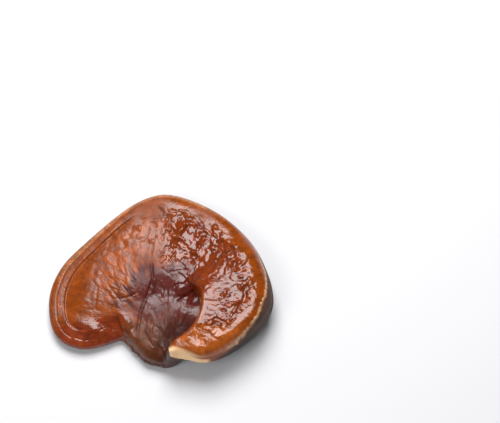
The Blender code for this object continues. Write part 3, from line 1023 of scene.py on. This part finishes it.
class ReishiColours(bpy.types.PropertyGroup):
    """Colours of the mushroom."""

    def tone(name, description, code):
        return bpy.props.FloatVectorProperty(
            name=name, description=description, subtype="COLOR", size=4, min=0, max=1, default=colour(code)
        )

    hub: tone("Hub", "Old crust where cap and stem meet", "#5E2018")
    cap: tone("Cap", "Crust over most of the cap", "#A84E10")
    ripe: tone("Right lobe", "Riper crust over the right lobe", "#8A380F")
    margin: tone("Margin", "Young crust along the margin", "#934205")
    young: tone("Lobe's tip", "Young crust at the tip of the right lobe", "#BE6424")
    bulge: tone("Bulge", "Dark red crust beside the stem", "#8A3716")
    olive: tone("Right edge", "Dull crust of the blunt edge below the beads", "#54321E")
    # Pale specks of the far rim; their line along the rim is partly a painted highlight.
    pale: tone("Rim", "Pale specks at the far rim", "#C98B5E")
    growing: tone("Growing edge", "Bare flesh at the growing edge", "#FFD3A0")
    stem: tone("Stem", "Crust on the left of the stem", "#703818")
    stem_shade: tone("Stem, far side", "Crust on the right of the stem", "#441A10")
    # Painted shade at the bottom of creases, in the cushions' seams and on the leaning facets, and the dark
    # of the torn edge.
    crease: tone("Creases", "Bottom of the creases", "#3E140A")
    # Pore layer, painted near-black as the shade under the cap.
    shaded_pores: tone("Pores", "Pore layer on the underside", "#2C2421")


class ReishiSizes(bpy.types.PropertyGroup):
    """Sizes of the crust's relief."""

    def length(name, description, millimetres):
        return bpy.props.FloatProperty(
            name=name, description=description, unit="LENGTH", precision=5, min=0, default=millimetres * MM
        )

    cushion_width: length("Cushion width", "Width of the cushions that the crust is broken into", 3.5)
    cushion_height: length("Cushion height", "Height of the cushions over their seams", 0.22)
    cushion_lean: length("Cushion lean", "How much higher one side of a cushion may be than the other", 1.5)
    wrinkle_height: length("Wrinkle height", "Height of the radial wrinkles", 0.2)
    fold_height: length("Fold height", "Height of the folds along the hub and the stem", 0.7)
    crease_depth: length("Crease depth", "Depth of a crease that the table gives as 1", 1.0)


class ReishiStage(bpy.types.PropertyGroup):
    """Camera, lights and table."""

    view_height: bpy.props.FloatProperty(
        name="View height",
        description="Angle of the camera above the table",
        subtype="ANGLE",
        default=math.radians(64),
    )
    key_power: bpy.props.FloatProperty(
        name="Softbox", description="Power of the softbox behind the mushroom", unit="POWER", default=7.0
    )
    top_power: bpy.props.FloatProperty(
        name="Top light", description="Power of the wide light overhead", unit="POWER", default=1.5
    )
    fill_power: bpy.props.FloatProperty(
        name="Fill", description="Power of the soft light from the front left", unit="POWER", default=3.0
    )
    key: bpy.props.FloatVectorProperty(
        name="Softbox colour", description="Colour of the softbox", subtype="COLOR", min=0, max=1,
        default=colour("#FFFFFF")[:3],
    )
    room: bpy.props.FloatProperty(name="Room", description="Brightness of the room", default=0.1, min=0)
    table: bpy.props.FloatVectorProperty(
        name="Table", description="Colour of the table", subtype="COLOR", size=4, min=0, max=1,
        default=colour("#EFEFF2"),
    )


class REISHI_OT_mushroom(bpy.types.Operator):
    """Grow the mushroom with its crust and pore layer"""

    bl_idname = "reishi.mushroom"
    bl_label = "Mushroom"

    def execute(self, context):
        colours, group = context.scene.reishi_colours, context.scene.reishi_sizes
        sizes = types.SimpleNamespace(**{name: getattr(group, name) / MM for name in group.__annotations__})
        mesh = mushroom_mesh(sizes)
        data = bpy.data.meshes.new("reishi_crust")
        mesh.to_mesh(data)
        mesh.free()
        data.materials.append(laccate_crust(colours))
        data.materials.append(pore_layer(colours))
        piece = bpy.data.objects.new("reishi_crust", data)
        context.scene.collection.objects.link(piece)
        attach(piece, "root")
        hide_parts(NODE)
        return {"FINISHED"}


def direction(azimuth, elevation):
    """Unit vector towards an azimuth in degrees, 0 at the camera's side, and an elevation in radians."""
    turn = math.radians(azimuth)
    flat = math.cos(elevation)
    return Vector((math.sin(turn) * flat, -math.cos(turn) * flat, math.sin(elevation)))


class REISHI_OT_stage(bpy.types.Operator):
    """Set up the pale table, the soft lights and the camera"""

    bl_idname = "reishi.stage"
    bl_label = "Stage"

    # Lamps: azimuth from the camera's side and elevation in degrees, distance and size in metres, the
    # property that holds the power, and whether the varnish mirrors them.
    LAMPS = {
        "softbox": (182, 62, 0.8, 0.5, "key_power", True),
        "top light": (180, 80, 1.4, 1.4, "top_power", False),
        "fill": (-40, 50, 1.0, 0.5, "fill_power", False),
    }

    # The point at this height over the hub's middle is seen at this pixel of the 500 by 423 frame, at half a
    # millimetre a pixel.
    HUB_PIXEL = (165.0, 302.0)
    FRAME_MIDDLE = (250.0, 211.5)
    PIXEL = 0.5
    HUB_TOP = 15.0
    TABLE_HALF = 2.0
    LENS = 100.0
    SENSOR = 36.0
    FRAME_WIDTH = 500.0

    def lamp(self, context, name):
        """A square softbox that faces the mushroom."""
        azimuth, elevation, distance, size, power, mirrored = self.LAMPS[name]
        stage = context.scene.reishi_stage
        way = direction(azimuth, math.radians(elevation))
        data = bpy.data.lights.new(name, "AREA")
        data.size = size
        data.energy = getattr(stage, power)
        data.color = stage.key
        lamp = bpy.data.objects.new(name, data)
        context.scene.collection.objects.link(lamp)
        lamp.visible_glossy = mirrored
        lamp.location = way * distance
        lamp.rotation_euler = way.to_track_quat("Z", "Y").to_euler()

    def execute(self, context):
        stage = context.scene.reishi_stage
        mesh = bmesh.new()
        bmesh.ops.create_grid(mesh, x_segments=1, y_segments=1, size=self.TABLE_HALF)
        data = bpy.data.meshes.new("table")
        mesh.to_mesh(data)
        mesh.free()
        data.materials.append(pale_table(tuple(stage.table)))
        table = bpy.data.objects.new("table", data)
        context.scene.collection.objects.link(table)
        for name in self.LAMPS:
            self.lamp(context, name)
        world = bpy.data.worlds.new("room")
        context.scene.world = world
        world.use_nodes = True
        world.node_tree.nodes["Background"].inputs["Color"].default_value = (1, 1, 1, 1)
        world.node_tree.nodes["Background"].inputs["Strength"].default_value = stage.room
        to_camera = direction(0, stage.view_height)
        right = Vector((1, 0, 0))
        up = to_camera.cross(right)
        aim = HUB + Vector((0, 0, self.HUB_TOP))
        aim += right * (self.FRAME_MIDDLE[0] - self.HUB_PIXEL[0]) * self.PIXEL
        aim += up * (self.HUB_PIXEL[1] - self.FRAME_MIDDLE[1]) * self.PIXEL
        camera_data = bpy.data.cameras.new("camera")
        camera_data.lens = self.LENS
        camera = bpy.data.objects.new("camera", camera_data)
        context.scene.collection.objects.link(camera)
        distance = self.FRAME_WIDTH * self.PIXEL * self.LENS / self.SENSOR
        camera.location = (aim + to_camera * distance) * MM
        camera.rotation_euler = to_camera.to_track_quat("Z", "Y").to_euler()
        context.scene.camera = camera
        context.scene.view_settings.view_transform = "Standard"
        return {"FINISHED"}


class REISHI_PT_panel(bpy.types.Panel):
    """Mushroom and stage in the sidebar"""

    bl_idname = "REISHI_PT_panel"
    bl_label = "Reishi mushroom"
    bl_space_type = "VIEW_3D"
    bl_region_type = "UI"
    bl_category = "Reishi"

    def draw(self, context):
        for group in (context.scene.reishi_sizes, context.scene.reishi_colours, context.scene.reishi_stage):
            box = self.layout.box()
            for name in group.__annotations__:
                box.prop(group, name)
        self.layout.operator("reishi.mushroom")
        self.layout.operator("reishi.stage")


CLASSES = (ReishiSizes, ReishiColours, ReishiStage, REISHI_OT_mushroom, REISHI_OT_stage, REISHI_PT_panel)


def register():
    for kind in CLASSES:
        bpy.utils.register_class(kind)
    bpy.types.Scene.reishi_sizes = bpy.props.PointerProperty(type=ReishiSizes)
    bpy.types.Scene.reishi_colours = bpy.props.PointerProperty(type=ReishiColours)
    bpy.types.Scene.reishi_stage = bpy.props.PointerProperty(type=ReishiStage)


def unregister():
    del bpy.types.Scene.reishi_stage
    del bpy.types.Scene.reishi_colours
    del bpy.types.Scene.reishi_sizes
    for kind in reversed(CLASSES):
        bpy.utils.unregister_class(kind)


def main():
    register()
    bpy.ops.reishi.mushroom()
    bpy.ops.reishi.stage()


if __name__ == "__main__":
    main()
